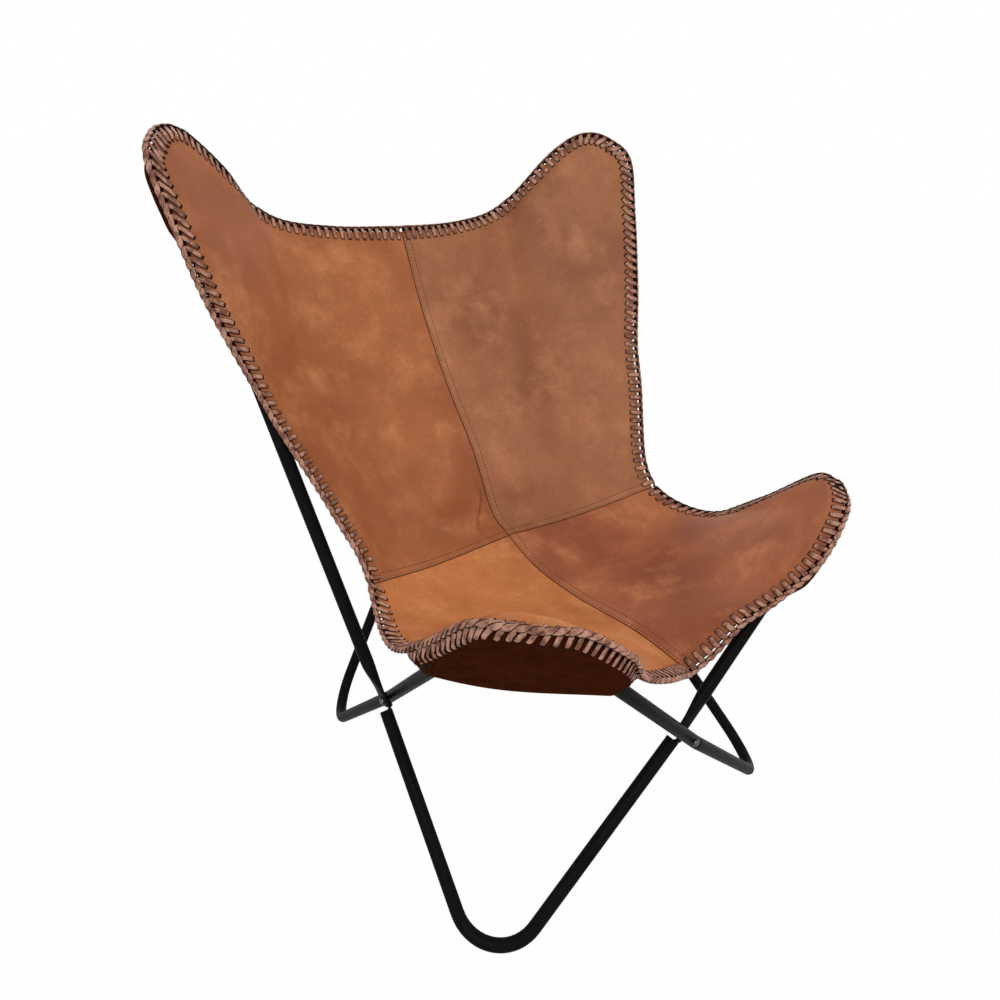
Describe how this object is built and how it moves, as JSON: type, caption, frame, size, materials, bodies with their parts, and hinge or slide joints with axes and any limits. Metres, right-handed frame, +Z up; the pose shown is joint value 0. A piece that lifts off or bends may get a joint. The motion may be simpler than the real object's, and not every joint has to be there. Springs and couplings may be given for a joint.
{
  "type": "butterfly sling chair",
  "caption": "Lounge chair with a laced leather sling hung on the four upper bends of a crossed black steel tube frame",
  "frame": {"origin": "on the floor, under the centre of the chair's bounding box", "axes": "+Z up, the sitter faces -Y, +X is the sitter's left"},
  "size_m": [0.7568, 0.6894, 0.8691],
  "materials": {
    "frame_paint": "satin black paint on steel tube",
    "fastener": "black bolts and nuts with rubbed edges",
    "leather": "waxed tan leather with pull-up marks",
    "suede": "dark brown suede side",
    "lace": "flat leather lace"
  },
  "bodies": {
    "root": {"upper_v_rear_right": "frame_paint", "upper_v_rear_left": "frame_paint", "upper_v_front_right": "frame_paint", "upper_v_front_left": "frame_paint", "floor_v_front_right": "frame_paint", "floor_v_front_left": "frame_paint", "floor_v_rear_right": "frame_paint", "floor_v_rear_left": "frame_paint", "crossing_bolt_right": "fastener", "crossing_nut_right": "fastener", "crossing_bolt_left": "fastener", "crossing_nut_left": "fastener", "crossing_bolt_front": "fastener", "crossing_nut_front": "fastener", "crossing_bolt_rear": "fastener", "crossing_nut_rear": "fastener", "back_panel_right": "leather", "back_panel_left": "leather", "seat_panel_right": "leather", "seat_panel_left": "leather", "corner_pocket_rear_right": "suede", "corner_pocket_rear_left": "suede", "corner_pocket_front_right": "suede", "corner_pocket_front_left": "suede", "lacing_back_right": "lace", "lacing_back_left": "lace", "lacing_seat_right": "lace", "lacing_seat_left": "lace"}
  },
  "joints": []
}
